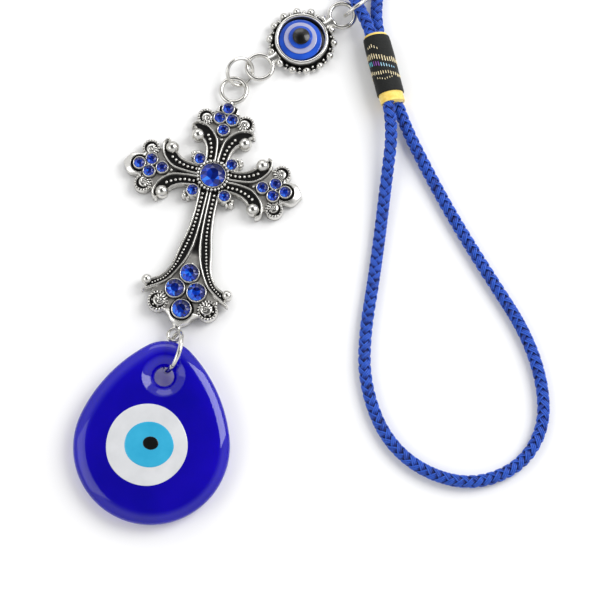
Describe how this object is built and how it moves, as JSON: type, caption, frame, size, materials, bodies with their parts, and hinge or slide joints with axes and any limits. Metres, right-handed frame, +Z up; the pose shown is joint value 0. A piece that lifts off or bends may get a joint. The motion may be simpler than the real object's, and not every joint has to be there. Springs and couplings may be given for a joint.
{
  "type": "evil eye ornament",
  "caption": "Hanging charm: a braided cord loop with a woven sleeve carries an eye connector, a stone-set cross and an egg-shaped glass drop with a fused eye, linked by wire rings.",
  "frame": {"origin": "on the surface the ornament lies on, at the middle of the rectangle round the chain from the cord ring to the foot of the glass drop", "axes": "+Y runs up the chain, from the glass drop towards the cord ring; +Z is up from the surface it lies on; +X is towards the hanging loop"},
  "size_m": [0.1198, 0.1567, 0.0109],
  "materials": {
    "braided_cord": "matte",
    "yellow_thread": "satin",
    "brocade": "matte",
    "plated_wire": "polished",
    "antique_silver": "oxidised",
    "blue_stone": "faceted",
    "cobalt_glass": "polished",
    "white_glass": "polished",
    "light_blue_glass": "polished",
    "black_glass": "polished",
    "blue_resin": "gloss",
    "white_resin": "gloss",
    "black_resin": "gloss"
  },
  "bodies": {
    "hanger": {"hanging_loop_cord": "braided_cord", "charm_loop_cord": "braided_cord", "bound_strand_left": "braided_cord", "bound_strand_right": "braided_cord", "thread_whipping": "yellow_thread", "woven_sleeve": "brocade"},
    "cord_ring": {"cord_ring": "plated_wire"},
    "eye_connector": {"connector_frame": "antique_silver", "eye_base": "blue_resin", "eye_white": "white_resin", "eye_blue": "blue_resin", "eye_pupil": "black_resin"},
    "link_ring": {"link_ring": "plated_wire"},
    "cross": {"cross_casting": "antique_silver", "stone_center": "blue_stone", "stone_corner_1": "blue_stone", "stone_corner_2": "blue_stone", "stone_corner_3": "blue_stone", "stone_corner_4": "blue_stone", "stone_top_1": "blue_stone", "stone_top_2": "blue_stone", "stone_top_3": "blue_stone", "stone_top_4": "blue_stone", "stone_left_1": "blue_stone", "stone_left_2": "blue_stone", "stone_left_3": "blue_stone", "stone_left_4": "blue_stone", "stone_right_1": "blue_stone", "stone_right_2": "blue_stone", "stone_right_3": "blue_stone", "stone_right_4": "blue_stone", "stone_bottom_1": "blue_stone", "stone_bottom_2": "blue_stone", "stone_bottom_3": "blue_stone", "stone_bottom_4": "blue_stone"},
    "drop_ring": {"drop_ring": "plated_wire"},
    "glass_drop": {"drop_glass": "cobalt_glass", "drop_white": "white_glass", "drop_light_blue": "light_blue_glass", "drop_pupil": "black_glass"}
  },
  "joints": [
    {"name": "cord_ring_swing", "type": "hinge", "parent": "hanger", "child": "cord_ring", "pos_m": [0.0347, 0.0669, 0.0046], "axis": [-0.3691, 0.9077, -0.1995], "range_deg": [-20, 20]},
    {"name": "eye_connector_swing", "type": "hinge", "parent": "cord_ring", "child": "eye_connector", "pos_m": [0.0323, 0.0665, 0.0009], "axis": [0, 0, 1], "range_deg": [-15, 10]},
    {"name": "link_ring_swing", "type": "hinge", "parent": "eye_connector", "child": "link_ring", "pos_m": [0.00647, 0.05125, 0.00248], "axis": [-0.3992, 0.6714, 0.6244], "range_deg": [-30, 0]},
    {"name": "cross_swing", "type": "hinge", "parent": "link_ring", "child": "cross", "pos_m": [0.00089, 0.04676, 0.00283], "axis": [0.5219, -0.5729, -0.6319], "range_deg": [0, 25]},
    {"name": "drop_ring_swing", "type": "hinge", "parent": "cross", "child": "drop_ring", "pos_m": [-0.01292, -0.02341, 0.00342], "axis": [0.9781, -0.208, 0], "range_deg": [-8, 35]},
    {"name": "glass_drop_swing", "type": "hinge", "parent": "drop_ring", "child": "glass_drop", "pos_m": [-0.01415, -0.03172, 0.00496], "axis": [0.3735, -0.1036, 0.9218], "range_deg": [-15, 20]}
  ]
}
